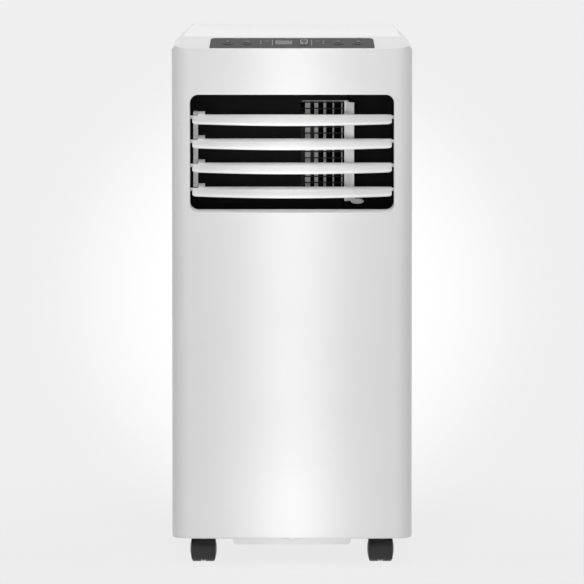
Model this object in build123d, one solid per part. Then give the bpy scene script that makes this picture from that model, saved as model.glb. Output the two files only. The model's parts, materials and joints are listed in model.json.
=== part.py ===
"""Portable air conditioner on four castors, as separate pieces in one frame.

Millimetres. The origin is the centre of the footprint on the floor, +Z is up and the outlet faces -Y.
"""
import math
import os

from build123d import *

# Case
WIDTH = 305.0
DEPTH = 325.0
HEIGHT = 678.0
WALL = 2.5
CORNER_R = 22.0
FRONT_BOW = 4.0
CASE_BOTTOM = 34.0
CASE_TOP = 654.0
BOTTOM_EDGE_R = 3.0
PIP_R = 3.6
FLANGE = 12.0
SEAM_GAP = 0.3
FRONT = -DEPTH / 2
REAR = DEPTH / 2
INNER_X = WIDTH / 2 - WALL
INNER_REAR = REAR - WALL
FLOOR = CASE_BOTTOM + WALL
OVERSHOOT = 20.0

# Top cover: control slope in front, then a deck that rises gently to the back
SLOPE_FOOT = 657.0
SLOPE_RUN = 45.0
SLOPE_ANGLE = 18.1
SHOULDER_FOOT = 657.0
SHOULDER_RUN = 1.0
REAR_CHAMFER = 12.0
TONGUE_HALF = 100.0
TONGUE_DROP = 14.0
FASCIA_FRONT_HALF = 104.7
FASCIA_REAR_HALF = 102.9
FASCIA_LENGTH = 37.4
FASCIA_THICK = 1.6
FASCIA_START = 3.6
BUTTON_R = 6.6
BUTTON_XS = (-81.5, -57.2, 58.7, 83.3)
BUTTON_ROW = 1.0
BUTTON_PROUD = 0.5
DISH_R = 6.0
DISH_DEPTH = 2.0
BUTTON_TRAVEL = 1.0
KEY_X = 15.2
DISPLAY_X = -10.3
DISPLAY_ROW = 3.0

# Outlet: opening, louvers, vane
OPEN_WIDTH = 259.8
OPEN_BOTTOM = 448.8
OPEN_TOP = 599.5
OPEN_R = 10.5
SILL_RISE = 4.6
LIP_END = FRONT + 13.5
DUCT_BACK = FRONT + 77.5
DUCT_HALF = OPEN_WIDTH / 2 + 1.2
DUCT_LOW = OPEN_BOTTOM + 1.6
DUCT_HIGH = OPEN_TOP + 2.0
LOUVERS = 4
LOUVER_PITCH = 30.6
LOUVER_TOP_Z = 569.8
LOUVER_Y = FRONT + 25.0
LOUVER_TILT = 21.0
LOUVER_HALF = 126.6
LOUVER_BOW = 6.0
LOUVER_FRONT = 25.0
LOUVER_REAR = 6.0
LOUVER_THICK = 3.0
PIN_R = 2.2
CRANK_Y = 9.0
CRANK_Z = 4.6
CRANK_PIN_R = 1.6
LINK_X0 = -125.4
LINK_X1 = -119.4
VANE_X = 69.5
VANE_Y = FRONT + 71.0
VANE_CHORD = 24.4
VANE_ANGLE = 24.0
VANE_LOW = 465.0
VANE_HIGH = 587.2
VANE_PIN_R = 2.0
LEVER_ANGLE = 36.0
THROAT_X = (11.0, 71.0)
THROAT_Z = (466.0, 588.8)
GUARD_BARS = 5
GUARD_X = 20.1
GUARD_PITCH = 10.9
WIRE_PITCH = 7.9

# Rear openings
GRILLE_WIDTH = 210.0
UPPER_GRILLE = (446.0, 634.0)
LOWER_GRILLE = (78.0, 252.0)
HOSE_Z = 345.0
HOSE_R = 65.0
DRAIN_LOW_Z = 54.0
DRAIN_HIGH = (119.0, 437.0)
GLAND = (121.0, 96.0)
GRIP_Y = 56.0
GRIP_Z = 573.0
GRIP_LENGTH = 86.0
GRIP_HEIGHT = 32.0
GRIP_DEPTH = 30.0
CUP_WALL = 3.0

# Inside
DECK_Z = 420.0
COOL_FAN = (-32.0, 525.0)
HOT_FAN = (-30.0, 168.0)
FAN_R = 66.0
COMPRESSOR = (-70.0, -72.0)
COMPRESSOR_R = 55.0
ACCUMULATOR = (11.0, -86.0)
COIL_HALF = 115.0
COIL_Y = (110.0, 135.0)
COIL_MIDDLE = sum(COIL_Y) / 2
PIPE_LANE = -COIL_HALF - 20.0
PAN_FLOOR = FLOOR + 3.5
SUMP_BOTTOM = 24.4

# Castors
WHEEL_R = 16.5
HOOD_R = 18.3
HOOD_HALF = 15.2
TREAD_HALF = 14.0
CASTOR_X = 113.2
CASTOR_Y = 121.0
CASTOR_TRAIL = 8.0
STEM_R = 4.0

CLEAR = 0.3
RUNNING = 0.06


def block(x0, x1, y0, y1, z0, z1):
    return Pos((x0 + x1) / 2, (y0 + y1) / 2, (z0 + z1) / 2) * Box(x1 - x0, y1 - y0, z1 - z0)


def prism(face, z0, z1):
    return extrude(Pos(0, 0, z0) * face, amount=z1 - z0)


def along_x(face, x0, x1):
    """Face drawn as (y, z), extruded from x0 to x1."""
    return extrude(Plane.YZ.offset(x0) * face, amount=x1 - x0)


def along_y(face, y0, y1):
    """Face drawn as (x, z), extruded from y0 to y1."""
    return extrude(Plane.XZ.offset(-y1) * face, amount=y1 - y0)


def disc(u, v, r):
    return Pos(u, v) * Circle(r)


def rod_x(x0, x1, y, z, r):
    return along_x(disc(y, z, r), x0, x1)


def rod_y(y0, y1, x, z, r):
    return along_y(disc(x, z, r), y0, y1)


def rod_z(z0, z1, x, y, r):
    return prism(disc(x, y, r), z0, z1)


def polygon(*points):
    return make_face(Polyline(*points, close=True))


def outline(inset=0.0):
    """Plan of the case: slightly bowed front, round corners."""
    half = WIDTH / 2 - inset
    front = FRONT + inset
    back = REAR - inset
    bow = FRONT_BOW * (half / (WIDTH / 2)) ** 2
    arc = ThreePointArc((-half, front + bow), (0, front), (half, front + bow))
    rest = Polyline((half, front + bow), (half, back), (-half, back), (-half, front + bow))
    face = make_face(arc.edges() + rest.edges())
    return fillet(face.vertices(), CORNER_R - inset)


def bottom_rounded(solid, radius):
    return fillet(solid.faces().sort_by(Axis.Z)[0].edges(), radius)


def case_shell():
    outer = bottom_rounded(prism(outline(), CASE_BOTTOM, CASE_TOP), BOTTOM_EDGE_R)
    inner = bottom_rounded(prism(outline(WALL), FLOOR, CASE_TOP + 1), BOTTOM_EDGE_R - WALL)
    mouth = prism(outline(FLANGE), CASE_BOTTOM - 1, FLOOR + 1)
    return outer - inner - mouth


def opening_face(y, inside, grow=0.0):
    """Section of the outlet opening; the inner end is narrower and its sill is higher."""
    half = OPEN_WIDTH / 2 - (0.8 if inside else 0.0) + grow
    low = OPEN_BOTTOM + (SILL_RISE if inside else 0.0) - grow
    high = OPEN_TOP - (0.6 if inside else 0.0) + grow
    shape = Pos(0, (low + high) / 2) * RectangleRounded(2 * half, high - low, OPEN_R + grow)
    return Plane.XZ.offset(-y) * shape


def front_panel():
    """Front half of the case with the sleeve of the outlet and a small pip under its lower edge."""
    panel = case_shell() & block(-WIDTH, WIDTH, -DEPTH, -SEAM_GAP, 0, HEIGHT)
    sleeve = loft([opening_face(FRONT - 2, False, WALL), opening_face(LIP_END, True, WALL)])
    panel += sleeve & prism(outline(), CASE_BOTTOM, CASE_TOP)
    panel -= loft([opening_face(FRONT - 2, False), opening_face(LIP_END, True)])
    panel -= extrude(opening_face(LIP_END + 2, True), amount=6)
    return panel + Pos(0, FRONT + PIP_R + 0.4, CASE_BOTTOM + 0.6) * Sphere(PIP_R)


def rear_window(z_range, grow=0.0):
    low, high = z_range
    shape = RectangleRounded(GRILLE_WIDTH + 2 * grow, high - low + 2 * grow, 6 + grow)
    return Pos(0, (low + high) / 2) * shape


def grip_face(grow=0.0):
    shape = RectangleRounded(GRIP_LENGTH + 2 * grow, GRIP_HEIGHT + 2 * grow, 10 + grow)
    return Pos(GRIP_Y, GRIP_Z) * shape


def through_rear(face):
    """Cutter for a hole in the rear wall, its face drawn as (x, z)."""
    return along_y(face, INNER_REAR - 5, REAR + 5)


def grip_rib():
    """Rib inside the side wall, just above the grip cup, that takes the lifting load."""
    low = GRIP_Z + GRIP_HEIGHT / 2 + CUP_WALL + CLEAR
    half = GRIP_LENGTH / 2 + CUP_WALL
    return block(INNER_X - GRIP_DEPTH, INNER_X + 1, GRIP_Y - half, GRIP_Y + half, low, low + WALL)


def rear_screw_places():
    return [(x, z) for x in (-62.0, 62.0) for z in (50.0, CASE_TOP - 9)]


def rear_cover():
    cover = case_shell() & block(-WIDTH, WIDTH, 0, DEPTH, 0, HEIGHT)
    lap = block(INNER_X - 2.2, INNER_X, 0, 10, 70, 620)
    lap += block(INNER_X - 2.2, INNER_X - 0.2, -8, 0, 70, 620)
    cover += lap + mirror(lap, about=Plane.YZ)
    for face in (rear_window(UPPER_GRILLE), rear_window(LOWER_GRILLE), disc(0, HOSE_Z, HOSE_R + 2.8),
                 disc(0, DRAIN_LOW_Z, 9.0), disc(*DRAIN_HIGH, 9.0), disc(*GLAND, 7.5)):
        cover -= through_rear(face)
    cover -= along_x(grip_face(), -WIDTH, WIDTH)
    rib = grip_rib()
    cover += rib + mirror(rib, about=Plane.YZ)
    for place in rear_screw_places():
        cover -= through_rear(disc(*place, 2.2))
        cover -= rod_y(REAR - 1.6, REAR + 5, *place, 4.2)
    return cover


def slope_z(y):
    return SLOPE_FOOT + (y - FRONT) * math.tan(math.radians(SLOPE_ANGLE))


def shoulder_x(z):
    return WIDTH / 2 - (z - SHOULDER_FOOT) * SHOULDER_RUN


def cap(inset):
    """Solid of the top cover, every face moved in by the inset."""
    crest = FRONT + SLOPE_RUN
    ahead = FRONT - OVERSHOOT
    behind = REAR + OVERSHOOT
    low = CASE_TOP - 2 * OVERSHOOT
    high = HEIGHT + OVERSHOOT
    side = polygon((ahead, slope_z(ahead)), (crest, slope_z(crest)), (REAR - REAR_CHAMFER, HEIGHT),
                   (behind, HEIGHT - REAR_CHAMFER - OVERSHOOT), (behind, low), (ahead, low))
    foot = shoulder_x(low)
    peak = shoulder_x(high)
    front = polygon((foot, low), (peak, high), (-peak, high), (-foot, low))
    if inset:
        side = offset(side, -inset, kind=Kind.INTERSECTION)
        front = offset(front, -inset, kind=Kind.INTERSECTION)
    solid = prism(outline(inset), CASE_TOP, high)
    return solid & along_x(side, -WIDTH, WIDTH) & along_y(front, -DEPTH, DEPTH)


def control_plane():
    """Plane on the control slope, its origin in the middle of the fascia."""
    angle = math.radians(SLOPE_ANGLE)
    y = FRONT + FASCIA_START + FASCIA_LENGTH / 2 * math.cos(angle)
    return Plane(origin=(0, y, slope_z(y)), x_dir=(1, 0, 0), z_dir=(0, -math.sin(angle), math.cos(angle)))


def on_slope(face, low, high):
    """Face drawn on the control slope, extruded between two heights above it."""
    return extrude(control_plane().offset(low) * face, amount=high - low)


def fascia_face(grow=0.0):
    half = FASCIA_LENGTH / 2 + grow
    front = FASCIA_FRONT_HALF + grow
    rear = FASCIA_REAR_HALF + grow
    face = polygon((-front, -half), (front, -half), (rear, half), (-rear, half))
    corners = face.vertices().sort_by(Axis.Y)
    face = fillet(corners[2:], 6.0)
    return fillet(face.vertices().sort_by(Axis.Y)[:2], 2.0)


def display_face(grow=0.0):
    return Pos(DISPLAY_X, DISPLAY_ROW) * RectangleRounded(20.6 + 2 * grow, 14 + 2 * grow, 1.2 + grow)


def key_face(grow=0.0):
    return Pos(KEY_X, DISPLAY_ROW) * RectangleRounded(10.8 + 2 * grow, 20 + 2 * grow, 2 + grow)


def board_posts():
    return [(x, y) for x in (-97.0, 97.0) for y in (-11.0, 12.0)]


def cover_tongues():
    """Tongues under the front and the rear edge that seat the cover inside the case."""
    inner = outline(WALL + 2.25)
    tongues = prism(outline(WALL + 0.25) - inner, CASE_TOP - TONGUE_DROP, CASE_TOP + 1)
    tongues += prism(outline(WALL / 2) - inner, CASE_TOP, CASE_TOP + 4) & cap(0)
    return tongues & block(-TONGUE_HALF, TONGUE_HALF, -DEPTH, DEPTH, 0, HEIGHT)


def top_cover():
    solid = cap(0)
    soft = [edge for edge in solid.edges() if edge.center().Z > SLOPE_FOOT + 2]
    solid = fillet(soft, 1.5)
    cover = solid - cap(WALL) + cover_tongues()
    cover -= on_slope(fascia_face(0.2), -FASCIA_THICK, 10)
    cover -= on_slope(fascia_face(-3.0), -12, 0)
    for x, y in board_posts():
        bracket = Pos(x + math.copysign(3.5, x), y) * Rectangle(13, 6)
        cover += on_slope(bracket, -9.4, -FASCIA_THICK)
    for x, z in rear_screw_places():
        if z > CASE_TOP - 20:
            cover -= rod_y(INNER_REAR - 6, REAR, x, z, 1.9)
    return cover


def control_fascia():
    fascia = on_slope(fascia_face(), -FASCIA_THICK, 0)
    for x in BUTTON_XS:
        fascia -= on_slope(disc(x, BUTTON_ROW, BUTTON_R + CLEAR), -5, 5)
    fascia -= on_slope(key_face(CLEAR), -5, 5)
    return fascia - on_slope(display_face(), -5, 5)


def dish_button(x):
    body = on_slope(disc(x, BUTTON_ROW, BUTTON_R), -4.8, BUTTON_PROUD)
    body += on_slope(disc(x, BUTTON_ROW, BUTTON_R + 1.4), -3.0, -FASCIA_THICK - 0.1)
    radius = (DISH_R ** 2 + DISH_DEPTH ** 2) / (2 * DISH_DEPTH)
    dish = Pos(x, BUTTON_ROW, BUTTON_PROUD - DISH_DEPTH + radius) * Sphere(radius)
    return body - control_plane() * dish


def square_key():
    body = on_slope(key_face(), -4.8, 0.4)
    flange = on_slope(key_face(1.4), -3.0, -FASCIA_THICK - 0.1)
    return body + flange


def control_board():
    board = on_slope(RectangleRounded(206, 31, 2), -11.0, -9.4)
    for x in (*BUTTON_XS, KEY_X):
        board += on_slope(Pos(x, BUTTON_ROW) * Rectangle(6, 6), -9.4, -6.2)
    return board + on_slope(display_face(-0.5), -9.4, -FASCIA_THICK - 0.2)


def louver_z(index):
    return LOUVER_TOP_Z - index * LOUVER_PITCH


def louver(index):
    """Blade drawn flat round its pivot, then tilted; the crank ear carries the pin of the link bar."""
    end = LOUVER_FRONT - LOUVER_BOW
    arc = ThreePointArc((-LOUVER_HALF, -end), (0, -LOUVER_FRONT), (LOUVER_HALF, -end))
    back = Polyline((LOUVER_HALF, -end), (LOUVER_HALF, LOUVER_REAR), (-LOUVER_HALF, LOUVER_REAR),
                    (-LOUVER_HALF, -end))
    face = make_face(arc.edges() + back.edges())
    face = fillet(face.vertices().sort_by(Axis.Y)[:2], 6.0)
    blade = prism(face, -LOUVER_THICK / 2, LOUVER_THICK / 2)
    faces = blade.faces().sort_by(Axis.Z)
    blade = fillet(faces[-1].edges() + faces[0].edges(), 1.0)
    recess = LINK_X1 + 0.7
    blade -= block(-LOUVER_HALF - 1, recess, -0.6, LOUVER_REAR + 1, -5, 5)
    blade += block(-LOUVER_HALF, recess, -PIN_R - 3, -0.6, -LOUVER_THICK / 2, PIN_R)
    blade = Rot(LOUVER_TILT, 0, 0) * blade
    pin_end = DUCT_HALF + WALL / 2
    blade += rod_x(-pin_end, LINK_X0 - 0.4, 0, 0, PIN_R)
    shaft = 6.0 if index == 0 else 0.0
    blade += rod_x(LOUVER_HALF - 6, pin_end + shaft, 0, 0, PIN_R)
    angle = math.degrees(math.atan2(CRANK_Z - 1.2, CRANK_Y - 3))
    span = math.hypot(CRANK_Z - 1.2, CRANK_Y - 3)
    ear = Pos((CRANK_Y + 3) / 2, (CRANK_Z + 1.2) / 2) * Rot(0, 0, angle) * SlotCenterToCenter(span, 5.4)
    blade += along_x(ear, LINK_X1 + 0.4, LINK_X1 + 8.8)
    blade += rod_x(LINK_X0 - 0.2, LINK_X1 + 2, CRANK_Y, CRANK_Z, CRANK_PIN_R)
    return Pos(0, LOUVER_Y, louver_z(index)) * blade


def louver_link():
    y = LOUVER_Y + CRANK_Y
    top = louver_z(0) + CRANK_Z
    bottom = louver_z(LOUVERS - 1) + CRANK_Z
    bar = block(LINK_X0, LINK_X1, y - 2.2, y + 2.2, bottom, top)
    middle = (LINK_X0 + LINK_X1) / 2
    bar -= block(middle - 0.9, middle + 0.9, y - 3, y - 1.6, bottom, top)
    for index in range(LOUVERS):
        z = louver_z(index) + CRANK_Z
        bar += rod_x(LINK_X0, LINK_X1, y, z, 3.2)
        bar -= rod_x(LINK_X0 - 1, LINK_X1 + 1, y, z, CRANK_PIN_R + RUNNING)
    return bar


def throat_face(grow=0.0):
    """Hole in the back of the duct, towards the blower."""
    left, right = THROAT_X
    low, high = THROAT_Z
    shape = RectangleRounded(right - left + 2 * grow, high - low + 2 * grow, 4 + grow)
    return Pos((left + right) / 2, (low + high) / 2) * shape


def outlet_duct():
    """Black box behind the outlet, with the bearings of the louvers and the bosses of the vane."""
    side = DUCT_HALF + WALL
    duct = block(-side, side, LIP_END, DUCT_BACK, DUCT_LOW - WALL, DUCT_HIGH + WALL)
    duct -= block(-DUCT_HALF, DUCT_HALF, LIP_END - 1, DUCT_BACK - WALL, DUCT_LOW, DUCT_HIGH)
    duct -= along_y(throat_face(), DUCT_BACK - 5, DUCT_BACK + 5)
    duct += rod_z(DUCT_LOW - 1, VANE_LOW - 4.4 - CLEAR, VANE_X, VANE_Y, 4.0)
    duct += rod_z(VANE_HIGH + 1.8 + CLEAR, DUCT_HIGH + 1, VANE_X, VANE_Y, 4.0)
    for index in range(LOUVERS):
        duct -= rod_x(-side - 1, side + 1, LOUVER_Y, louver_z(index), PIN_R + RUNNING)
    return duct - rod_z(DUCT_LOW - 5, DUCT_HIGH + 5, VANE_X, VANE_Y, VANE_PIN_R + RUNNING)


def louver_motor():
    x = DUCT_HALF + WALL
    body = rod_x(x, x + 13, LOUVER_Y, louver_z(0), 11.5)
    ears = along_x(Pos(LOUVER_Y, louver_z(0)) * Rot(0, 0, 90) * SlotCenterToCenter(29, 6.5), x, x + 1.2)
    return body + ears - rod_x(x - 1, x + 8, LOUVER_Y, louver_z(0), PIN_R + RUNNING)


def swing_vane():
    """Upright blade on two pins, with the finger lever at its foot."""
    plate = Pos(0, 2 - VANE_CHORD / 2) * RectangleRounded(2.2, VANE_CHORD, 1.0)
    vane = prism(plate, VANE_LOW, VANE_HIGH)
    arm = block(-1.8, 1.8, -12, 0, VANE_LOW - 4, VANE_LOW)
    paddle = along_x(Pos(-16, VANE_LOW - 4.2) * Ellipse(8.6, 3.4), -2.2, 2.2)
    vane += Rot(0, 0, LEVER_ANGLE) * (arm + paddle)
    vane = Rot(0, 0, VANE_ANGLE) * vane
    vane += rod_z(VANE_LOW - 4.4, VANE_HIGH + 1.8, 0, 0, 2.8)
    vane += rod_z(VANE_LOW - 12, VANE_HIGH + 9, 0, 0, VANE_PIN_R)
    return Pos(VANE_X, VANE_Y, 0) * vane


def guard_bars():
    """Frame behind the throat with upright bars that get narrower to the right."""
    left, right = THROAT_X
    low, high = THROAT_Z
    frame = along_y(throat_face(4), DUCT_BACK, DUCT_BACK + 4)
    frame -= along_y(throat_face(), DUCT_BACK - 1, DUCT_BACK + 5)
    frame += block(left - 2, right + 2, DUCT_BACK, DUCT_BACK + 3, high - 1.2, high + 2)
    for index in range(GUARD_BARS):
        x = GUARD_X + index * GUARD_PITCH
        half = max(3.3 - 0.8 * index, 0.75)
        frame += block(x - half, x + half, DUCT_BACK, DUCT_BACK + 3, low - 2, high)
    return frame


def guard_wires():
    left, right = THROAT_X
    low, high = THROAT_Z
    wires = Part()
    for index in range(int((high - low) / WIRE_PITCH)):
        wires += rod_x(left + 1, right - 1, DUCT_BACK - 0.8, high - 2.4 - index * WIRE_PITCH, 0.8)
    return wires


def volute(centre, start, growth, top):
    """Spiral case outline in three arcs; it ends in a straight mouth at the given height."""
    cx, cz = centre

    def point(turn):
        radius = start + growth * turn / 270
        angle = math.radians(90 + turn)
        return (cx + radius * math.cos(angle), cz + radius * math.sin(angle))

    arcs = [ThreePointArc(point(turn), point(turn + 45), point(turn + 90)) for turn in (0, 90, 180)]
    last = point(270)
    mouth = Polyline(last, (last[0], top), (cx, top), point(0))
    return make_face([arc.edge() for arc in arcs] + list(mouth.edges()))


def cool_scroll():
    front = DUCT_BACK + 4
    back = front + 71
    mouth = along_y(throat_face(5), front, back)
    outer = along_y(volute(COOL_FAN, 78, 24, COOL_FAN[1] + 79), front, back) + mouth
    inner = along_y(volute(COOL_FAN, 75.5, 24, COOL_FAN[1] + 76.5), front + WALL, back - WALL)
    inner += along_y(throat_face(2.5), front + WALL, back - WALL)
    scroll = outer - inner
    scroll -= along_y(throat_face(1), front - 1, front + WALL + 1)
    return scroll - rod_y(back - 5, back + 5, *COOL_FAN, FAN_R - 10)


def hot_scroll():
    front = 32.5
    back = 100.0
    duct_back = 127.5
    mouth_top = 268.0
    outer = along_y(volute(HOT_FAN, 76, 22, mouth_top), front, back)
    outer += block(-72, 72, front, duct_back, mouth_top - 6, DECK_Z)
    inner = along_y(volute(HOT_FAN, 73.5, 22, mouth_top), front + WALL, back - WALL)
    half = 72 - WALL
    inner += block(-half, half, front + WALL, duct_back - WALL, mouth_top - 6 + WALL, DECK_Z - WALL)
    foot = block(HOT_FAN[0] - 26, HOT_FAN[0] + 26, front + 6, back - 6, PAN_FLOOR, 110)
    scroll = outer + foot - inner
    scroll -= rod_y(back - 5, back + 5, *HOT_FAN, FAN_R - 10)
    scroll -= rod_y(front - 5, front + 5, *HOT_FAN, 12)
    return scroll - rod_y(duct_back - 5, duct_back + 5, 0, HOSE_Z, HOSE_R - 1.5)


def fan_wheel(width, cup_r, cup_depth, shaft_reach):
    """Centrifugal wheel along +Z, air drawn in at the far end; the shaft points back to its motor."""
    plate = prism(Circle(FAN_R) - Circle(cup_r), 0, 2)
    cup = prism(Circle(cup_r + 2) - Circle(cup_r), 0, cup_depth)
    floor = prism(Circle(cup_r + 2), cup_depth - 2, cup_depth)
    rim = prism(Circle(FAN_R) - Circle(FAN_R - 9), width - 3, width)
    wheel = plate + cup + floor + rim
    wheel += prism(Circle(9), cup_depth - 2, cup_depth + 8)
    wheel += prism(Circle(4), cup_depth - shaft_reach, cup_depth)
    inside = FAN_R - 11
    outside = FAN_R - 1
    front = ThreePointArc((inside, 0), (inside + 5, 2.0), (outside, 6.0))
    back = ThreePointArc((inside, 1.4), (inside + 5, 3.4), (outside, 7.4))
    ends = [Line((inside, 0), (inside, 1.4)), Line((outside, 6.0), (outside, 7.4))]
    blade = prism(make_face([front.edge(), back.edge(), *[end.edge() for end in ends]]), 1, width - 2)
    return wheel + [Rot(0, 0, turn * 12) * blade for turn in range(30)]


def fan_motor(radius, length, shaft_depth):
    """Motor along +Z with its mounting face at the start and the shaft hole at the end."""
    body = prism(Circle(radius), 0, length)
    body = fillet(body.faces().sort_by(Axis.Z)[-1].edges(), 4)
    return body - prism(Circle(4 + RUNNING), length - shaft_depth, length + 1)


def facing_back(shape, centre, y):
    """Turn a +Z shape towards +Y and seat it at a fan centre."""
    return Pos(centre[0], y, centre[1]) * Rot(-90, 0, 0) * shape


def coil_fins(low, high):
    """Fin pack, slit on both faces so that the fins stand out from the tube core."""
    pack = block(-COIL_HALF, COIL_HALF, *COIL_Y, low, high)
    pitch = 2 * COIL_HALF / 28
    for index in range(28):
        x = -COIL_HALF + pitch * (index + 0.5)
        pack -= block(x - 2.6, x + 2.6, COIL_Y[0] - 1, COIL_Y[0] + 9, low + 4, high - 4)
        pack -= block(x - 2.6, x + 2.6, COIL_Y[1] - 9, COIL_Y[1] + 1, low + 4, high - 4)
    return pack


def pipe(points, radius, bend):
    path = FilletPolyline(*points, radius=bend)
    section = Plane(origin=path @ 0, z_dir=path % 0) * Circle(radius)
    return sweep(section, path=path)


def coil_bends(low):
    """Return bends of the tubes at the left end of a coil."""
    bends = Part()
    end = -COIL_HALF
    for index in range(4):
        z = low + 30 + index * 36
        bends += pipe([(end, COIL_MIDDLE, z - 9), (end - 14, COIL_MIDDLE, z - 9),
                       (end - 14, COIL_MIDDLE, z + 9), (end, COIL_MIDDLE, z + 9)], 3.5, 8)
    return bends


def refrigerant_pipes():
    cx, cy = COMPRESSOR
    ax, ay = ACCUMULATOR
    hot = pipe([(cx, cy, 250), (cx, cy, 305), (PIPE_LANE, cy, 305), (PIPE_LANE, COIL_MIDDLE, 305),
                (PIPE_LANE, COIL_MIDDLE, 238), (-COIL_HALF, COIL_MIDDLE, 238)], 4, 14)
    cold = pipe([(-COIL_HALF, COIL_MIDDLE, 452), (PIPE_LANE, COIL_MIDDLE, 452), (PIPE_LANE, COIL_MIDDLE, 385),
                 (PIPE_LANE, ay, 385), (ax, ay, 385), (ax, ay, 230)], 4, 14)
    suction = pipe([(ax, ay, 120), (ax, ay, 88), (cx + 40, cy - 2, 88)], 4, 12)
    pipes = hot + cold + suction
    return pipes - compressor() - accumulator()


def compressor():
    x, y = COMPRESSOR
    body = rod_z(62, 254, x, y, COMPRESSOR_R)
    body = fillet(body.edges().filter_by(GeomType.CIRCLE), 22)
    plate = rod_z(56, 60, x, y, 50) + rod_z(58, 80, x, y, 40)
    for foot_x, foot_y in compressor_feet_places():
        arm = Line((x, y), (foot_x, foot_y))
        plate += rod_z(56, 60, foot_x, foot_y, 11)
        plate += prism(make_face(offset(arm, 9)), 56, 60)
    cap_box = rod_z(245, 262, x + 24, y, 15)
    return body + plate + cap_box


def compressor_feet_places():
    x, y = COMPRESSOR
    turns = [math.radians(turn) for turn in (30, 150, 270)]
    return [(x + 66 * math.cos(turn), y + 66 * math.sin(turn)) for turn in turns]


def compressor_feet():
    feet = Part()
    for x, y in compressor_feet_places():
        feet += rod_z(PAN_FLOOR, 45, x, y, 9.5) + rod_z(51, 56, x, y, 9.5)
        feet += rod_z(44, 52, x, y, 7)
    return feet


def accumulator():
    x, y = ACCUMULATOR
    body = rod_z(110, 240, x, y, 22)
    body = fillet(body.edges().filter_by(GeomType.CIRCLE), 10)
    strap = block(COMPRESSOR[0] + 45, x, y - 2, y + 8, 170, 182)
    return body + (strap - rod_z(60, 260, *COMPRESSOR, COMPRESSOR_R))


def deck():
    """Shelf between the two compartments; its back part is the condensate tray of the evaporator."""
    shelf = prism(outline(6), DECK_Z, DECK_Z + 4)
    shelf += block(-138, 138, 104, 143, DECK_Z, DECK_Z + 24)
    shelf -= block(-135.5, 135.5, 106.5, 140.5, DECK_Z + 4, DECK_Z + 40)
    shelf += rod_y(141, REAR - 3.2, *DRAIN_HIGH, 7.5)
    shelf -= rod_y(120, REAR, *DRAIN_HIGH, 5.0)
    return shelf - rod_z(DECK_Z - 5, DECK_Z + 40, PIPE_LANE, COIL_MIDDLE, 5.0)


def base_pan():
    """Pan that hangs on the turned-in edge of the case, with the sump tray and the castor sockets."""
    pan = prism(outline(8.4), FLOOR, FLOOR + 26) - prism(outline(10.9), PAN_FLOOR, FLOOR + 40)
    sump = block(-74.7, 74.7, FRONT + 22, 104, SUMP_BOTTOM, PAN_FLOOR)
    pan += fillet(sump.edges().filter_by(Axis.Y).sort_by(Axis.Z)[:2], 4)
    pan -= block(-71, 71, FRONT + 26, 100, SUMP_BOTTOM + 3.4, PAN_FLOOR + 1)
    for x, y in castor_places():
        pan += rod_z(FLOOR, FLOOR + 24, x, y, 9)
        pan -= rod_z(FLOOR - 1, FLOOR + 22, x, y, STEM_R + RUNNING)
    for x in (-128, 128):
        post = block(x - 7, x + 7, FRONT + 26.5, FRONT + 40.5, PAN_FLOOR, DECK_Z)
        pan += post & prism(outline(12), 0, HEIGHT)
    pan += rod_y(150, REAR - 3.2, 0, DRAIN_LOW_Z, 7.5)
    pan -= rod_y(120, REAR, 0, DRAIN_LOW_Z, 5.0)
    for x, z in rear_screw_places():
        if z < 100:
            pan -= rod_y(120, REAR, x, z, 1.9)
    return pan


def castor_places():
    return [(x, y) for y in (-CASTOR_Y, CASTOR_Y) for x in (-CASTOR_X, CASTOR_X)]


def castor_hood(x, y):
    """Swivelling hood with the web that carries the axle, and the stem that turns in the base."""
    first = 55
    sweep_angle = 168
    outer = CenterArc((0, 0), HOOD_R, first, sweep_angle)
    inner = CenterArc((0, 0), HOOD_R - 1.2, first, sweep_angle)
    ends = [Line(outer @ 0, inner @ 0), Line(outer @ 1, inner @ 1)]
    band = make_face([outer.edge(), inner.edge(), *[end.edge() for end in ends]])
    spokes = [Line(outer @ 0, (0, 0)), Line((0, 0), outer @ 1)]
    pie = make_face([outer.edge(), *[spoke.edge() for spoke in spokes]])
    hood = along_x(band, -HOOD_HALF, HOOD_HALF)
    hood += along_x(pie + Circle(WHEEL_R - 0.5), -1.8, 1.8)
    hood = Pos(0, CASTOR_TRAIL, WHEEL_R) * hood
    boss = rod_z(WHEEL_R + 12, FLOOR - 0.2, 0, 0, 7) & block(-20, 20, -20, CASTOR_TRAIL, 0, 60)
    hood += boss - rod_x(-20, 20, CASTOR_TRAIL, WHEEL_R, HOOD_R - 1)
    hood -= rod_x(-20, 20, CASTOR_TRAIL, WHEEL_R, 2.5 + RUNNING)
    hood += rod_z(FLOOR - 3, FLOOR + 20, 0, 0, STEM_R)
    return Pos(x, y, 0) * hood


def castor_wheels(x, y):
    """Two domed wheels pressed on one axle, turned as one profile."""
    dome_centre = -25.8
    rim = WHEEL_R - 0.8
    dome_r = math.hypot(TREAD_HALF - dome_centre, rim)
    hub = dome_centre + math.sqrt(dome_r ** 2 - 4 ** 2)
    middle = dome_centre + math.sqrt(dome_r ** 2 - 9.5 ** 2)
    edges = [*Line((-hub, 0), (hub, 0)).edges(), *Line((-2.3, 2.5), (2.3, 2.5)).edges()]
    for side in (-1, 1):
        tread = [(2.3, 2.5), (2.3, rim), (3.1, WHEEL_R), (TREAD_HALF - 0.8, WHEEL_R), (TREAD_HALF, rim)]
        edges += Polyline(*[(side * px, py) for px, py in tread]).edges()
        edges += ThreePointArc((side * TREAD_HALF, rim), (side * middle, 9.5), (side * hub, 4)).edges()
        edges += Line((side * hub, 4), (side * hub, 0)).edges()
    return Pos(x, y + CASTOR_TRAIL, WHEEL_R) * revolve(make_face(edges), axis=Axis.X)


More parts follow.
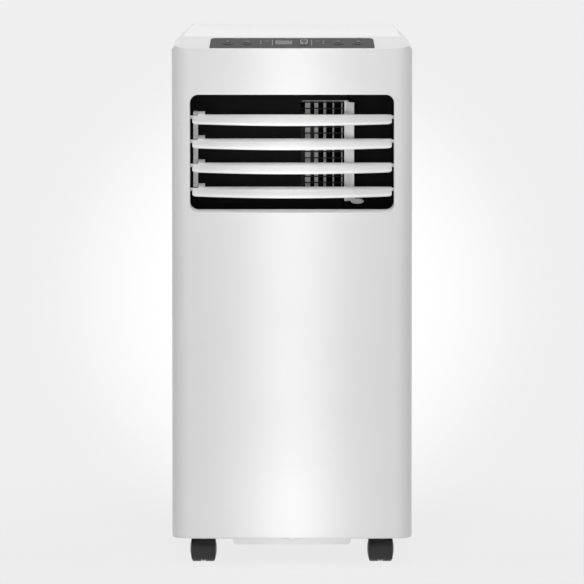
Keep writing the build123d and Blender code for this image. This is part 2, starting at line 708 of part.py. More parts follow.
def filter_grille(z_range):
    """Rear intake grille: a frame with slanted slats and upright ribs."""
    low, high = z_range
    frame = along_y(rear_window(z_range, -CLEAR), REAR - 12, REAR)
    frame -= along_y(rear_window(z_range, -5), 0, DEPTH)
    count = round((high - low - 12) / 11.5)
    pitch = (high - low - 12) / count
    slat = polygon((-9, 1.2), (-9, 3.2), (0, -1.2), (0, -3.2))
    for index in range(count):
        z = low + 6 + pitch * (index + 0.5)
        frame += along_x(Pos(REAR - 0.8, z) * slat, -GRILLE_WIDTH / 2 + 4, GRILLE_WIDTH / 2 - 4)
    for x in (-35, 35):
        frame += block(x - 1.5, x + 1.5, REAR - 10, REAR - 1, low + 3, high - 3)
    return frame


def filter_mesh(z_range):
    """Filter net in its frame, clipped to the inside of the grille."""
    low, high = z_range
    y = REAR - 12
    half = GRILLE_WIDTH / 2 - 2
    net = block(-half, half, y - 1.2, y - 0.6, low + 2, high - 2)
    frame = block(-half, half, y - 3, y, low + 2, high - 2)
    frame -= block(-half + 5, half - 5, y - 5, y + 2, low + 7, high - 7)
    for x in (-half / 3, half / 3):
        frame += block(x - 1.2, x + 1.2, y - 3, y, low + 4, high - 4)
    middle = (low + high) / 2
    frame += block(-half + 2, half - 2, y - 3, y, middle - 1.2, middle + 1.2)
    return frame + net


def hose_collar():
    start = 127.5
    collar = rod_y(start, REAR, 0, HOSE_Z, HOSE_R + 2.5)
    collar += rod_y(INNER_REAR - 2.5, INNER_REAR, 0, HOSE_Z, HOSE_R + 8)
    return collar - rod_y(start - 1, REAR + 1, 0, HOSE_Z, HOSE_R)


def hose_guard():
    back = 125.0
    guard = Part()
    for radius in (24, 40, 56, 68):
        ring = Circle(radius) - Circle(radius - (5 if radius > 60 else 2))
        guard += along_y(Pos(0, HOSE_Z) * ring, back - 3, back)
    for turn in range(3):
        bar = Pos(0, HOSE_Z) * Rot(0, 0, turn * 60) * Rectangle(130, 2.4)
        guard += along_y(bar, back - 3, back)
    return guard


def grip_cup(side):
    """Hand-grip pocket behind the hole in the side of the rear cover."""
    back = INNER_X - GRIP_DEPTH
    cup = along_x(grip_face(CUP_WALL), back, INNER_X)
    cup -= along_x(grip_face(), back + WALL, INNER_X + 5)
    return cup if side > 0 else mirror(cup, about=Plane.YZ)


def drain_plug(x, z):
    seat = REAR - 3.2
    plug = rod_y(seat + CLEAR, REAR, x, z, 8.4) + rod_y(seat - 14, seat + 1, x, z, 4.7)
    return plug - along_y(Pos(x, z) * (Circle(6.4) - Rectangle(2.4, 20)), REAR - 1.4, REAR + 2)


def cord_gland():
    x, z = GLAND
    gland = rod_y(INNER_REAR - 8, REAR, x, z, 7.3) + rod_y(INNER_REAR - 3, INNER_REAR, x, z, 10)
    return gland - rod_y(INNER_REAR - 10, REAR + 5, x, z, 4.0)


def electrical_box():
    box = block(30, 104, -138, -40, 330, DECK_Z)
    box = fillet(box.edges().filter_by(Axis.Z), 4)
    return box + block(27, 107, -141, -37, 372, 376)


def run_capacitor():
    can = rod_z(262, 330, 67, -90, 19)
    return fillet(can.faces().sort_by(Axis.Z)[0].edges(), 3)


def case_screws():
    screws = Part()
    for x, z in rear_screw_places():
        head = rod_y(REAR - 1.6, REAR - 0.2, x, z, 3.9)
        head -= along_y(Pos(x, z) * (Rectangle(4, 1) + Rectangle(1, 4)), REAR - 1.0, REAR + 1)
        screws += head + rod_y(REAR - 12, REAR - 1.2, x, z, 1.9)
    return screws


def all_nodes():
    cool_front = DUCT_BACK + 4
    nodes = {
        "front_panel": front_panel(),
        "rear_cover": rear_cover(),
        "top_cover": top_cover(),
        "base_pan": base_pan(),
        "control_fascia": control_fascia(),
        "display_lens": on_slope(display_face(), -FASCIA_THICK, -0.1),
        "control_board": control_board(),
        "power_key": square_key(),
        "outlet_duct": outlet_duct(),
        "guard_bars": guard_bars(),
        "guard_wires": guard_wires(),
        "louver_link": louver_link(),
        "louver_motor": louver_motor(),
        "swing_vane": swing_vane(),
        "upper_grille": filter_grille(UPPER_GRILLE),
        "upper_filter": filter_mesh(UPPER_GRILLE),
        "lower_grille": filter_grille(LOWER_GRILLE),
        "lower_filter": filter_mesh(LOWER_GRILLE),
        "hose_collar": hose_collar(),
        "hose_guard": hose_guard(),
        "grip_cup_left": grip_cup(-1),
        "grip_cup_right": grip_cup(1),
        "drain_plug_low": drain_plug(0, DRAIN_LOW_Z),
        "drain_plug_high": drain_plug(*DRAIN_HIGH),
        "cord_gland": cord_gland(),
        "deck": deck(),
        "evaporator_fins": coil_fins(DECK_Z + 8, 632),
        "evaporator_bends": coil_bends(DECK_Z + 44),
        "condenser_fins": coil_fins(FLOOR + 24, 256),
        "condenser_bends": coil_bends(FLOOR + 14),
        "cool_scroll": cool_scroll(),
        "cool_wheel": facing_back(fan_wheel(58, 42, 44, 18), COOL_FAN, cool_front + 7),
        "cool_motor": facing_back(fan_motor(38, 42, 14), COOL_FAN, cool_front + WALL),
        "hot_scroll": hot_scroll(),
        "hot_wheel": facing_back(fan_wheel(52, 20, 10, 32), HOT_FAN, 41),
        "hot_motor": facing_back(fan_motor(36, 40, 14), HOT_FAN, -7.5),
        "compressor": compressor(),
        "compressor_feet": compressor_feet(),
        "accumulator": accumulator(),
        "refrigerant_pipes": refrigerant_pipes(),
        "electrical_box": electrical_box(),
        "run_capacitor": run_capacitor(),
        "case_screws": case_screws(),
    }
    for name, x in zip(("timer_button", "mode_button", "fan_button", "sleep_button"), BUTTON_XS):
        nodes[name] = dish_button(x)
    for index in range(LOUVERS):
        nodes[f"louver_{index + 1}"] = louver(index)
    for name, (x, y) in zip(("front_left", "front_right", "rear_left", "rear_right"), castor_places()):
        nodes[f"castor_{name}_hood"] = castor_hood(x, y)
        nodes[f"castor_{name}_wheels"] = castor_wheels(x, y)
    return nodes


os.makedirs("parts", exist_ok=True)
for node, shape in all_nodes().items():
    export_step(shape, f"parts/{node}.step")
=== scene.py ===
"""Looks of the portable air conditioner: finishes, printed marks, studio and camera."""
import json
import math

import bpy
from mathutils import Matrix, Vector


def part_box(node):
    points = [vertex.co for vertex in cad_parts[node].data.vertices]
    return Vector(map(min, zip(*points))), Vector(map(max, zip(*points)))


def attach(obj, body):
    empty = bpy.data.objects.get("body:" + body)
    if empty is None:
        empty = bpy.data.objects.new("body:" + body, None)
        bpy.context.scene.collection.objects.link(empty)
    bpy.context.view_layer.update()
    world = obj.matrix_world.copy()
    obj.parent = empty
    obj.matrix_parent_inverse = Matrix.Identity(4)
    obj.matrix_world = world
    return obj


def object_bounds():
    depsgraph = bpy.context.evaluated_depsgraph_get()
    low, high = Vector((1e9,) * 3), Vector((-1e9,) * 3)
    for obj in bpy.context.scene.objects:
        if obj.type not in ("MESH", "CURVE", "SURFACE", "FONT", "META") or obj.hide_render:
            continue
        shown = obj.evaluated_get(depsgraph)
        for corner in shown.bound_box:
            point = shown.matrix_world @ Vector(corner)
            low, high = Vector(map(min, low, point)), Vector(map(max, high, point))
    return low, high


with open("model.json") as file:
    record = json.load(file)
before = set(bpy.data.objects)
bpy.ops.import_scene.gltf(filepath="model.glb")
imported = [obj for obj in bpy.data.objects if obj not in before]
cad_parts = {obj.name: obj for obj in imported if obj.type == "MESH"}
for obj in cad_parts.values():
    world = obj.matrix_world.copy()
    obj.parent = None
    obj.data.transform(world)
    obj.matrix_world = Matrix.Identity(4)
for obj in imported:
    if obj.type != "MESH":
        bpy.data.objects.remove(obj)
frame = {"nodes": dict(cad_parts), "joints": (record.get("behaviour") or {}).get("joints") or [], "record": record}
cad_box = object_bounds()

# Eye of the photograph: metres, and millimetres for the lens
EYE_DISTANCE = 8.0
EYE_HEIGHT = 0.965
EYE_REACH = 100.0
PITCH = math.radians(4.402)
LENS = 390.0
SENSOR = 36.0

# Millimetres in a metre, so that MM / 5 is the scale of a pattern 5 mm wide
MM = 1000

# Blender's wave texture repeats 20 / (2 pi) times in each unit of its scale
WAVE_UNIT = 2 * math.pi / 20

# What comes in pairs stands on these sides
SIDES = ((-1, "left"), (1, "right"))

# Printed marks, in metres: width, height and corner radius
SEPARATOR = (0.0008, 0.020, 0.0003)
LEGEND_LINE = (0.0062, 0.0009, 0.0003)
LAMP_WINDOW = (0.0022, 0.0036, 0.0006)
KEY_RING = (0.0092, 0.0165, 0.0030)
KEY_FOOT = (0.0030, 0.0030, 0.0004)

# Ink of the marks, in metres, and the steps in a round corner
INK_LIFT = 0.00003
INK_THICK = 0.00008
CORNER_STEPS = 4

# Places of the marks, in metres across and up from the middle of the strip
SEPARATOR_ACROSS = 0.0249
SEPARATOR_UP = 0.0015
LEGEND_ACROSS = 0.0318
WINDOW_ACROSS = 0.0397
WINDOW_UP = 0.0072
WINDOW_PITCH = 0.0082

# Marks of the display and the key, in metres; up is measured from the middle of the display
DISPLAY_HEIGHT = 0.0140
DISPLAY_CORNER = 0.0010
DISPLAY_LINE = 0.0006
KEY_PROUD = 0.0004
RING_LINE = 0.0011
RING_GAP = 0.0016
RING_UP = 0.0012
FOOT_ACROSS = 0.0025
FOOT_UP = -0.0044

# Glow behind the object: distances between unit directions
GLOW_INNER = 0.0187
GLOW_OUTER = 0.0432

# Strength of the light that the surroundings give
WORLD_LIGHT = 0.05

# Floor, in metres: the eye sees a share of it near the object, and none of it beyond the far end
FLOOR_SIZE = 30.0
FLOOR_SHARE = 0.08
FLOOR_NEAR = 0.2
FLOOR_FAR = 1.1


def linear(hex_colour):
    """An sRGB hex colour as the linear values that the shaders take."""
    channels = [int(hex_colour[i:i + 2], 16) / 255 for i in (1, 3, 5)]
    steps = [c / 12.92 if c <= 0.04045 else ((c + 0.055) / 1.055) ** 2.4 for c in channels]
    return (*steps, 1.0)


def add(tree, kind, inputs, **settings):
    """One node with its settings; an input is a fixed value or another node's output."""
    made = tree.nodes.new(kind)
    for name, value in settings.items():
        setattr(made, name, value)
    for name, value in inputs.items():
        if isinstance(value, bpy.types.NodeSocket):
            tree.links.new(value, made.inputs[name])
        else:
            made.inputs[name].default_value = value
    return made


def blend(tree, share, first, second):
    """A colour between two hex colours: a Mix node takes them at 6 and 7 and gives the colour at 2."""
    inputs = {0: share, 6: linear(first), 7: linear(second)}
    return add(tree, "ShaderNodeMix", inputs, data_type="RGBA").outputs[2]


def noise(tree, place, spot_mm, detail, **more):
    """Soft noise from 0 to 1 whose spots are about spot_mm wide."""
    inputs = {"Vector": place, "Scale": MM / spot_mm, "Detail": detail, **more}
    return add(tree, "ShaderNodeTexNoise", inputs).outputs[0]


def streaks(tree, place, per_mm):
    """Noise drawn out into streaks; per_mm says how many there are in a millimetre along x, y and z."""
    drawn = add(tree, "ShaderNodeMapping", {"Vector": place, "Scale": [MM * count for count in per_mm]})
    inputs = {"Vector": drawn.outputs[0], "Scale": 1.0, "Detail": 2.0}
    return add(tree, "ShaderNodeTexNoise", inputs).outputs[0]


def waves(tree, place, pitch_mm, axis, profile="SIN", **more):
    """Waves from 0 to 1 along an axis, one every pitch_mm."""
    inputs = {"Vector": place, "Scale": WAVE_UNIT * MM / pitch_mm, **more}
    made = add(tree, "ShaderNodeTexWave", inputs, bands_direction=axis, wave_profile=profile)
    return made.outputs["Fac"]


def new_finish(name, **fixed):
    """A new material with its fixed shader values, and the place of each point on the piece."""
    material = bpy.data.materials.new(name)
    material.use_nodes = True
    tree = material.node_tree
    shader = tree.nodes["Principled BSDF"]
    for socket, value in fixed.items():
        shader.inputs[socket.replace("_", " ")].default_value = value
    place = add(tree, "ShaderNodeTexCoord", {}).outputs["Object"]
    return material, tree, shader, place


def surface(tree, shader, pattern, colours, rough, relief=None, depth_mm=0.0):
    """Drives colour and roughness from one pattern, and the bump from it or from a relief of its own."""
    tint = blend(tree, pattern, *colours)
    gloss = add(tree, "ShaderNodeMapRange", {"Value": pattern, "To Min": rough[0], "To Max": rough[1]})
    tree.links.new(tint, shader.inputs["Base Color"])
    tree.links.new(gloss.outputs[0], shader.inputs["Roughness"])
    if depth_mm:
        inputs = {"Height": relief or pattern, "Distance": depth_mm / MM, "Strength": 1.0}
        bump = add(tree, "ShaderNodeBump", inputs)
        tree.links.new(bump.outputs[0], shader.inputs["Normal"])


def moulded(name, colours, rough, grain_mm, depth_mm, **fixed):
    """Moulded plastic: a faint flow mottle 60 mm wide in colour and gloss, and the grain of the mould."""
    material, tree, shader, place = new_finish(name, **fixed)
    flow = noise(tree, place, spot_mm=60, detail=3.0)
    grain = noise(tree, place, spot_mm=grain_mm, detail=2.0)
    surface(tree, shader, flow, colours, rough, grain, depth_mm)
    return material


def white_case_abs():
    """White ABS from a spark-eroded mould: an even satin white whose fine grain breaks up reflections."""
    return moulded("moulded white ABS", ("#EAEAEA", "#EEEEEE"), rough=(0.42, 0.52),
                   grain_mm=1.4, depth_mm=0.006, IOR=1.53)


def white_louver_abs():
    """White ABS from a finely blasted mould: a soft even white that stays bright at flat angles."""
    return moulded("fine-blasted white ABS", ("#F1F1F1", "#F5F5F5"), rough=(0.32, 0.40),
                   grain_mm=2.0, depth_mm=0.003, IOR=1.53, Diffuse_Roughness=1.0)


def natural_acetal():
    """Moulded acetal in its natural colour: a waxy white, slippery and a little greyer than the louvers."""
    return moulded("moulded natural acetal", ("#E2E2E2", "#E8E8E8"), rough=(0.30, 0.42),
                   grain_mm=1.0, depth_mm=0.003, IOR=1.48)


def white_base_pp():
    """Polypropylene filled with talc: a chalkier white than the case, with a slightly greasy sheen."""
    return moulded("talc-filled white polypropylene", ("#F5F5F5", "#F9F9F9"), rough=(0.44, 0.58),
                   grain_mm=2.2, depth_mm=0.010, IOR=1.49)


def white_collar_abs():
    """White ABS turned smooth where the hose slides on: the case's white with a cleaner sheen."""
    return moulded("smooth white ABS", ("#E6E6E6", "#EBEBEB"), rough=(0.34, 0.44),
                   grain_mm=1.8, depth_mm=0.003, IOR=1.53)


def control_film():
    """Screen-printed polycarbonate film: dark satin grey; its 0.3 mm texture is drawn at 0.8 mm to show."""
    material, tree, shader, place = new_finish("textured polycarbonate film", IOR=1.50,
                                               Specular_IOR_Level=0.3)
    speck = noise(tree, place, spot_mm=0.8, detail=1.0)
    surface(tree, shader, speck, ("#2C2C2D", "#3A3A3B"), rough=(0.36, 0.48), depth_mm=0.003)
    return material


def smoked_acrylic():
    """Smoked acrylic, polished: a grey depth under clear gloss, with the haze of the display behind it."""
    material, tree, shader, place = new_finish("smoked acrylic", IOR=1.49, Coat_Weight=0.3,
                                               Coat_Roughness=0.18)
    haze = noise(tree, place, spot_mm=18, detail=0.0)
    surface(tree, shader, haze, ("#545456", "#5E5E60"), rough=(0.16, 0.22), depth_mm=0.001)
    return material


def button_abs():
    """Gloss-painted ABS: the strip's dark grey without its texture, so that the dish gathers the light."""
    return moulded("gloss-painted dark ABS", ("#2E2E2F", "#363637"), rough=(0.16, 0.22),
                   grain_mm=1.2, depth_mm=0.001, IOR=1.50)


def key_abs():
    """Satin-painted ABS of the square key: a shade darker and less glossy than the round buttons."""
    return moulded("satin-painted dark ABS", ("#272728", "#2E2E2F"), rough=(0.20, 0.28),
                   grain_mm=1.2, depth_mm=0.001, IOR=1.50)


def duct_black_pp():
    """Black polypropylene from a coarse mould: swallows light, so that only its edges show."""
    return moulded("black polypropylene", ("#0B0B0B", "#111111"), rough=(0.62, 0.78),
                   grain_mm=1.2, depth_mm=0.020, IOR=1.49, Specular_IOR_Level=0.22)


def guard_grey_abs():
    """Light grey ABS in the dark throat: matt, with faint dust that dulls it in patches."""
    material, tree, shader, place = new_finish("matt grey ABS", IOR=1.53)
    dust = noise(tree, place, spot_mm=14, detail=4.0)
    surface(tree, shader, dust, ("#A4A4A4", "#BEBEBE"), rough=(0.50, 0.66), depth_mm=0.010)
    return material


def coated_wire():
    """Steel wire with a black dipped coat: dark, with a soft line of light and small drips along it."""
    material, tree, shader, place = new_finish("black dip-coated steel wire", IOR=1.50)
    drip = noise(tree, place, spot_mm=5, detail=2.0)
    surface(tree, shader, drip, ("#0C0C0C", "#171717"), rough=(0.30, 0.46), depth_mm=0.08)
    return material


def castor_hood_nylon():
    """Glass-filled black nylon: satin, a little grey where the fibres reach the surface."""
    material, tree, shader, place = new_finish("glass-filled black nylon", IOR=1.53)
    fibre = streaks(tree, place, per_mm=(0.9, 0.25, 0.9))
    surface(tree, shader, fibre, ("#0F0F10", "#1A1A1B"), rough=(0.36, 0.52), depth_mm=0.010)
    return material


def castor_wheel_nylon():
    """Black nylon wheel: satin tread, scuffed paler in patches where it rolls."""
    material, tree, shader, place = new_finish("scuffed black nylon", IOR=1.53)
    scuff = noise(tree, place, spot_mm=6, detail=5.0, Roughness=0.6)
    surface(tree, shader, scuff, ("#131314", "#252526"), rough=(0.34, 0.60), depth_mm=0.015)
    return material


def nylon_net():
    """Woven nylon net: pale threads round dark pores, drawn every 2.4 mm instead of 0.8 mm to show."""
    material, tree, shader, place = new_finish("woven nylon net", IOR=1.53)
    lines = [waves(tree, place, pitch_mm=2.4, axis=axis) for axis in ("X", "Z")]
    woven = add(tree, "ShaderNodeMath", {0: lines[0], 1: lines[1]}, operation="MAXIMUM")
    thread = add(tree, "ShaderNodeMapRange", {"Value": woven.outputs[0], "From Min": 0.55,
                                              "From Max": 0.85})
    surface(tree, shader, thread.outputs[0], ("#2A2B2D", "#8B8D90"), rough=(0.80, 0.48), depth_mm=0.25)
    return material


def plug_rubber():
    """Moulded rubber: nearly black and dull, with the pale bloom that old rubber sweats out."""
    material, tree, shader, place = new_finish("moulded rubber", IOR=1.52)
    bloom = noise(tree, place, spot_mm=7, detail=4.0)
    surface(tree, shader, bloom, ("#1B1B1C", "#2C2C2D"), rough=(0.68, 0.86), depth_mm=0.02)
    return material


def gland_nylon():
    """Black nylon of the cord gland: harder and shinier than the rubber plugs."""
    return moulded("moulded black nylon", ("#141415", "#1D1D1E"), rough=(0.34, 0.46),
                   grain_mm=0.9, depth_mm=0.006, IOR=1.53)


def fin_aluminium():
    """Rolled aluminium fins: painted highlights on upright lines every 2 mm, painted shade in the gaps."""
    material, tree, shader, place = new_finish("rolled aluminium fins", Metallic=1.0)
    # painted highlight on each fin line and painted shade in the gap between fins
    line = waves(tree, place, pitch_mm=2.0, axis="X", Distortion=0.4, Detail=1.0)
    surface(tree, shader, line, ("#8F9193", "#D3D5D7"), rough=(0.46, 0.28), depth_mm=0.30)
    return material


def drawn_copper():
    """Drawn copper tube: warm and bright, browned in patches by heat and fingers."""
    material, tree, shader, place = new_finish("drawn copper", Metallic=1.0)
    tarnish = noise(tree, place, spot_mm=22, detail=5.0)
    surface(tree, shader, tarnish, ("#8A4E33", "#D08A63"), rough=(0.52, 0.24), depth_mm=0.02)
    return material


def compressor_enamel():
    """Black stoving enamel on a pressed shell: glossy, with the ripple of sprayed paint."""
    material, tree, shader, place = new_finish("black stoving enamel", IOR=1.54, Coat_Weight=0.4,
                                               Coat_Roughness=0.12)
    ripple = noise(tree, place, spot_mm=3, detail=1.0)
    surface(tree, shader, ripple, ("#111112", "#1B1B1C"), rough=(0.26, 0.36), depth_mm=0.04)
    return material


def galvanised_steel():
    """Zinc-coated steel: cold grey crystals 6 mm wide, each with its own brightness."""
    material, tree, shader, place = new_finish("galvanised steel", Metallic=1.0)
    crystal = add(tree, "ShaderNodeTexVoronoi", {"Vector": place, "Scale": MM / 6, "Randomness": 1.0})
    level = add(tree, "ShaderNodeSeparateColor", {"Color": crystal.outputs["Color"]})
    surface(tree, shader, level.outputs[0], ("#8C8F92", "#B4B7BA"), rough=(0.44, 0.30))
    return material


def fan_wheel_plastic():
    """Dark grey glass-filled polypropylene of the blower wheels: matt, mottled by the glass."""
    return moulded("glass-filled grey polypropylene", ("#2A2B2C", "#333435"), rough=(0.50, 0.64),
                   grain_mm=0.9, depth_mm=0.015, IOR=1.49)


def deck_hips():
    """High-impact polystyrene of the inner decks and scrolls: soft grey, slightly pearly."""
    return moulded("grey high-impact polystyrene", ("#BDBEBF", "#C9CACB"), rough=(0.40, 0.54),
                   grain_mm=1.6, depth_mm=0.008, IOR=1.59)


def box_abs():
    """Flame-proofed ABS of the electrical box: a flat warm grey with a coarse mould grain."""
    return moulded("flame-proofed grey ABS", ("#B3B2AF", "#BFBEBB"), rough=(0.48, 0.60),
                   grain_mm=1.2, depth_mm=0.020, IOR=1.53)


def can_aluminium():
    """Deep-drawn aluminium can: bright, with fine upright draw lines."""
    material, tree, shader, place = new_finish("deep-drawn aluminium", Metallic=1.0)
    line = streaks(tree, place, per_mm=(0.7, 0.7, 0.012))
    surface(tree, shader, line, ("#A9ABAD", "#D5D7D9"), rough=(0.42, 0.24), depth_mm=0.01)
    return material


def board_laminate():
    """Glass-fibre board under green mask: darker where copper runs below, in tracks 2.5 mm apart."""
    material, tree, shader, place = new_finish("green-masked circuit board", IOR=1.55)
    track = waves(tree, place, pitch_mm=2.5, axis="Y", profile="TRI", Distortion=3.0, Detail=1.0)
    edge = add(tree, "ShaderNodeMapRange", {"Value": track, "From Min": 0.45, "From Max": 0.55})
    surface(tree, shader, edge.outputs[0], ("#0C3A22", "#1C6A3E"), rough=(0.24, 0.34), depth_mm=0.03)
    return material


def screw_steel():
    """Zinc-plated screw: bright, with the fine scratches of the driver."""
    material, tree, shader, place = new_finish("zinc-plated steel", Metallic=1.0)
    scratch = noise(tree, place, spot_mm=0.7, detail=3.0)
    surface(tree, shader, scratch, ("#96989B", "#C6C8CA"), rough=(0.46, 0.26), depth_mm=0.02)
    return material


def screen_ink():
    """Pale grey screen-printing ink: matt, thinner in specks where the mesh of the screen left less."""
    material, tree, shader, place = new_finish("grey screen ink", IOR=1.50)
    mesh = noise(tree, place, spot_mm=0.6, detail=1.0)
    surface(tree, shader, mesh, ("#8E8E8F", "#ABABAC"), rough=(0.44, 0.58))
    return material


def frosted_window():
    """Frosted polycarbonate over a small lamp that is off: a milky grey with a soft sheen."""
    material, tree, shader, place = new_finish("frosted polycarbonate", IOR=1.58)
    frost = noise(tree, place, spot_mm=0.8, detail=2.0)
    surface(tree, shader, frost, ("#6C6C6D", "#848485"), rough=(0.30, 0.44), depth_mm=0.004)
    return material


FINISHES = {
    "white_abs": white_case_abs, "white_louver": white_louver_abs, "grey_link": natural_acetal,
    "white_base": white_base_pp, "white_collar": white_collar_abs, "fascia": control_film,
    "lens": smoked_acrylic, "buttons": button_abs, "key": key_abs, "duct_black": duct_black_pp,
    "guard_grey": guard_grey_abs, "wire_black": coated_wire, "castor_hood": castor_hood_nylon,
    "castor_wheel": castor_wheel_nylon, "filter_net": nylon_net, "plug_rubber": plug_rubber,
    "gland_black": gland_nylon, "fin_aluminium": fin_aluminium, "copper": drawn_copper,
    "compressor_paint": compressor_enamel, "motor_steel": galvanised_steel,
    "wheel_plastic": fan_wheel_plastic, "deck_plastic": deck_hips, "box_plastic": box_abs,
    "can_aluminium": can_aluminium, "board_green": board_laminate, "screw_steel": screw_steel,
}


def dress_nodes():
    """Gives every CAD node the finish of its material slot."""
    made = {slot: make() for slot, make in FINISHES.items()}
    for subpart in frame["record"]["subparts"]:
        node = frame["nodes"][subpart["node"]]
        for held in node.material_slots:
            held.material = made[subpart["material_slot"]]


def strip_frame():
    """Place of the control strip: middle of its top face, x across, y up the slope, z outwards."""
    press = next(joint for joint in frame["joints"] if joint["name"] == "power_key_press")
    normal = -Vector(press["axis"]).normalized()
    low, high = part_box("control_fascia")
    angle = math.acos(normal.z)
    thick = ((high.z - low.z) * math.cos(angle) - (high.y - low.y) * math.sin(angle)) / math.cos(2 * angle)
    front = Vector((0, low.y, low.z + thick * math.cos(angle)))
    rear = Vector((0, high.y - thick * math.sin(angle), high.z))
    up = (rear - front).normalized()
    columns = (Vector((1, 0, 0)), up, normal)
    return Matrix.Translation((front + rear) / 2) @ Matrix(columns).transposed().to_4x4()


STRIP = strip_frame()


def start_tile(name, width, height, corner):
    """A flat rounded tile at the origin, open in edit mode with all of it selected."""
    bpy.ops.object.select_all(action="DESELECT")
    bpy.ops.mesh.primitive_plane_add(size=1.0, location=(0, 0, 0))
    tile = bpy.context.object
    tile.name = name
    bpy.ops.object.mode_set(mode="EDIT")
    bpy.ops.mesh.select_all(action="SELECT")
    bpy.ops.transform.resize(value=(width, height, 1.0))
    bpy.ops.mesh.bevel(offset=corner, segments=CORNER_STEPS, affect="VERTICES")
    bpy.ops.mesh.select_all(action="SELECT")
    return tile


def cut_middle(line, gap=0.0):
    """Leaves a line of ink along the tile's edge; a gap opens it in the middle of its lower side."""
    bpy.ops.mesh.inset(thickness=line)
    bpy.ops.mesh.delete(type="FACE")
    if gap:
        bpy.ops.mesh.select_all(action="SELECT")
        bpy.ops.mesh.bisect(plane_co=(-gap / 2, 0, 0), plane_no=(1, 0, 0))
        bpy.ops.mesh.select_all(action="SELECT")
        bpy.ops.mesh.bisect(plane_co=(gap / 2, 0, 0), plane_no=(1, 0, 0))
        bpy.ops.mesh.select_all(action="DESELECT")
        tile = bpy.context.object
        bpy.ops.object.mode_set(mode="OBJECT")
        for face in tile.data.polygons:
            face.select = abs(face.center.x) < gap / 2 and face.center.y < 0
        bpy.ops.object.mode_set(mode="EDIT")
        bpy.ops.mesh.delete(type="FACE")


def finish_tile(tile, across, up, lift, body, material):
    """Gives the open tile the thickness of the ink, lays it on the strip and lets it ride on its body."""
    bpy.ops.mesh.select_all(action="SELECT")
    bpy.ops.mesh.extrude_region_move(TRANSFORM_OT_translate={"value": (0, 0, INK_THICK)})
    bpy.ops.mesh.select_all(action="SELECT")
    bpy.ops.mesh.normals_make_consistent(inside=False)
    bpy.ops.object.mode_set(mode="OBJECT")
    tile.matrix_world = STRIP @ Matrix.Translation((across, up, lift))
    bpy.ops.object.transform_apply(location=True, rotation=True, scale=True)
    tile.data.materials.append(material)
    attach(tile, body)


def strip_marks(ink):
    """Separators, legend lines and lamp windows on both sides of the strip."""
    window = frosted_window()
    for side, name in SIDES:
        bar = start_tile(f"separator_{name}", *SEPARATOR)
        finish_tile(bar, side * SEPARATOR_ACROSS, SEPARATOR_UP, INK_LIFT, "case", ink)
        line = start_tile(f"legend_line_{name}", *LEGEND_LINE)
        finish_tile(line, side * LEGEND_ACROSS, WINDOW_UP, INK_LIFT, "case", ink)
        for row in range(2):
            pane = start_tile(f"lamp_window_{name}_{row + 1}", *LAMP_WINDOW)
            up = WINDOW_UP - row * WINDOW_PITCH
            finish_tile(pane, side * WINDOW_ACROSS, up, INK_LIFT, "case", window)


def display_and_key_marks(ink):
    """The line round the display, and the open ring on the key with its two feet."""
    lens_low, lens_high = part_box("display_lens")
    lens = STRIP.inverted() @ ((lens_low + lens_high) / 2)
    border = start_tile("display_line", lens_high.x - lens_low.x, DISPLAY_HEIGHT, DISPLAY_CORNER)
    cut_middle(DISPLAY_LINE)
    finish_tile(border, lens.x, lens.y, INK_LIFT, "case", ink)
    key_low, key_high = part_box("power_key")
    key = STRIP.inverted() @ ((key_low + key_high) / 2)
    lift = KEY_PROUD + INK_LIFT
    ring = start_tile("key_ring", *KEY_RING)
    cut_middle(RING_LINE, RING_GAP)
    finish_tile(ring, key.x, lens.y + RING_UP, lift, "power_key", ink)
    for side, name in SIDES:
        foot = start_tile(f"key_foot_{name}", *KEY_FOOT)
        finish_tile(foot, key.x + side * FOOT_ACROSS, lens.y + FOOT_UP, lift, "power_key", ink)


def control_marks():
    """All that is printed on the control strip, in one ink."""
    ink = screen_ink()
    strip_marks(ink)
    display_and_key_marks(ink)


def lamp(name, place, aim, size, watts, glossy=True, spread=180):
    """A soft rectangular lamp that the eye doesn't see: metres, watts, and its beam in degrees."""
    bpy.ops.object.select_all(action="DESELECT")
    bpy.ops.object.light_add(type="AREA", location=place)
    made = bpy.context.object
    made.name = name
    made.rotation_euler = (Vector(aim) - Vector(place)).to_track_quat("-Z", "Y").to_euler()
    made.data.shape = "RECTANGLE"
    made.data.size, made.data.size_y = size
    made.data.energy = watts
    made.data.spread = math.radians(spread)
    made.visible_camera = False
    made.visible_glossy = glossy


def seen_directly(tree):
    """1 for what the eye sees straight, in a reflection or through glass; 0 for light that bounces."""
    path = add(tree, "ShaderNodeLightPath", {})
    eye = path.outputs["Is Camera Ray"]
    mirror = path.outputs["Is Glossy Ray"]
    glass = path.outputs["Is Transmission Ray"]
    either = add(tree, "ShaderNodeMath", {0: eye, 1: mirror}, operation="MAXIMUM")
    return add(tree, "ShaderNodeMath", {0: either.outputs[0], 1: glass}, operation="MAXIMUM").outputs[0]


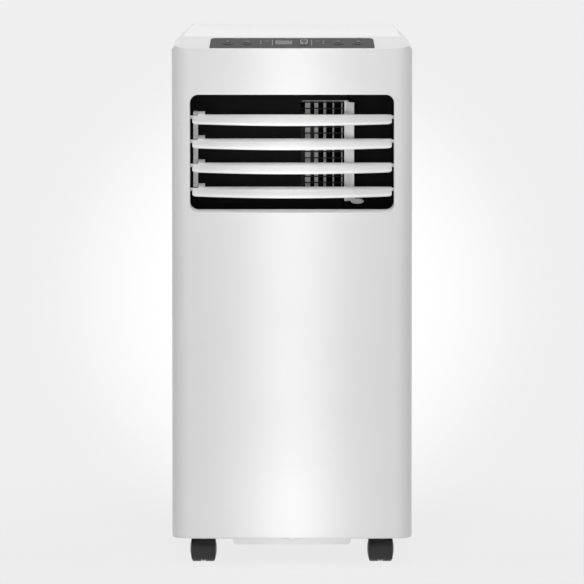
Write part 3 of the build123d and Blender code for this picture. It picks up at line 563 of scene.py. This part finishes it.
def studio_world():
    """Even pale surroundings with a soft glow straight behind the object."""
    world = bpy.context.scene.world or bpy.data.worlds.new("studio")
    bpy.context.scene.world = world
    world.use_nodes = True
    tree = world.node_tree
    tree.nodes.clear()
    direction = add(tree, "ShaderNodeTexCoord", {}).outputs["Generated"]
    middle = (0.0, math.cos(PITCH), -math.sin(PITCH))
    away = add(tree, "ShaderNodeVectorMath", {0: direction, 1: middle}, operation="DISTANCE")
    glow = add(tree, "ShaderNodeMapRange", {"Value": away.outputs["Value"], "From Min": GLOW_INNER,
                                            "From Max": GLOW_OUTER, "To Min": 1.0, "To Max": 0.0},
               interpolation_type="SMOOTHSTEP")
    pale = blend(tree, glow.outputs[0], "#EFEFEF", "#FFFFFF")
    seen = add(tree, "ShaderNodeBackground", {"Color": pale, "Strength": 1.0})
    lit = add(tree, "ShaderNodeBackground", {"Color": linear("#FFFFFF"), "Strength": WORLD_LIGHT})
    both = add(tree, "ShaderNodeMixShader", {0: seen_directly(tree), 1: lit.outputs[0],
                                             2: seen.outputs[0]})
    add(tree, "ShaderNodeOutputWorld", {"Surface": both.outputs[0]})


def studio_floor():
    """Pale floor whose shadow melts into the surroundings away from the object."""
    bpy.ops.object.select_all(action="DESELECT")
    bpy.ops.mesh.primitive_grid_add(x_subdivisions=4, y_subdivisions=4, size=FLOOR_SIZE,
                                    location=(0, 0, 0))
    floor = bpy.context.object
    floor.name = "floor"
    material = bpy.data.materials.new("pale studio floor")
    material.use_nodes = True
    tree = material.node_tree
    tree.nodes.clear()
    place = add(tree, "ShaderNodeTexCoord", {}).outputs["Object"]
    far = add(tree, "ShaderNodeVectorMath", {0: place}, operation="LENGTH")
    near = add(tree, "ShaderNodeMapRange", {"Value": far.outputs["Value"], "From Min": FLOOR_NEAR,
                                            "From Max": FLOOR_FAR, "To Min": FLOOR_SHARE, "To Max": 0.0},
               interpolation_type="SMOOTHSTEP")
    matt = add(tree, "ShaderNodeBsdfDiffuse", {"Color": linear("#F2F2F2")})
    clear = add(tree, "ShaderNodeBsdfTransparent", {})
    shown = add(tree, "ShaderNodeMixShader", {0: near.outputs[0], 1: clear.outputs[0],
                                              2: matt.outputs[0]})
    both = add(tree, "ShaderNodeMixShader", {0: seen_directly(tree), 1: matt.outputs[0],
                                             2: shown.outputs[0]})
    add(tree, "ShaderNodeOutputMaterial", {"Surface": both.outputs[0]})
    floor.data.materials.append(material)


def studio_lamps():
    """High key light, narrow lamps close to the front and soft fills above, behind and low in front."""
    front = cad_box[0].y
    outlet = (0, front + 0.03, 0.522)
    vane = (0.07, front + 0.06, 0.53)
    lamp("high key", (0, front - 2.0, 2.5), aim=(0, 0, 0.45), size=(1.2, 0.8), watts=31.5)
    lamp("centre strip", (0, front - 0.10, 0.37), aim=(0, front, 0.37), size=(0.04, 0.72), watts=0.095,
         glossy=False, spread=130)
    lamp("toe strip", (0, front - 0.12, 0.06), aim=(0, front, 0.04), size=(0.04, 0.08), watts=0.009,
         glossy=False, spread=130)
    lamp("upper outlet lamp", (0, front - 0.30, 0.84), aim=outlet, size=(0.24, 0.085), watts=0.004,
         glossy=False, spread=9)
    lamp("front outlet lamp", (0, front - 0.45, 0.55), aim=outlet, size=(0.18, 0.03), watts=0.002,
         glossy=False, spread=23)
    lamp("vane lamp", (-0.42, front - 0.20, 0.54), aim=vane, size=(0.03, 0.09), watts=0.0045,
         glossy=False, spread=8)
    lamp("low fill", (0, front - 3.0, 0.25), aim=(0, 0, 0.2), size=(2.0, 0.4), watts=19, glossy=False)
    lamp("top softbox", (0, front - 0.14, 1.5), aim=(0, 0, 0.66), size=(1.6, 0.12), watts=4.2)
    lamp("rim softbox", (0, 2.2, 1.25), aim=(0, 0, 0.68), size=(1.6, 0.4), watts=2.7)
    for side, name in SIDES:
        lamp(f"rear {name} softbox", (side * 2.2, 1.8, 1.5), aim=(0, 0, 0.4), size=(1.2, 1.2), watts=29,
             glossy=False)


def camera():
    """Long lens far in front of the object and a little above it, as the photograph was taken."""
    bpy.ops.object.select_all(action="DESELECT")
    bpy.ops.object.camera_add(location=(0, cad_box[0].y - EYE_DISTANCE, EYE_HEIGHT),
                              rotation=(math.pi / 2 - PITCH, 0, 0))
    eye = bpy.context.object
    eye.data.sensor_width = SENSOR
    eye.data.lens = LENS
    eye.data.clip_end = EYE_REACH
    bpy.context.scene.camera = eye


dress_nodes()
control_marks()
studio_world()
studio_floor()
studio_lamps()
camera()
bpy.context.scene.view_settings.view_transform = "Standard"
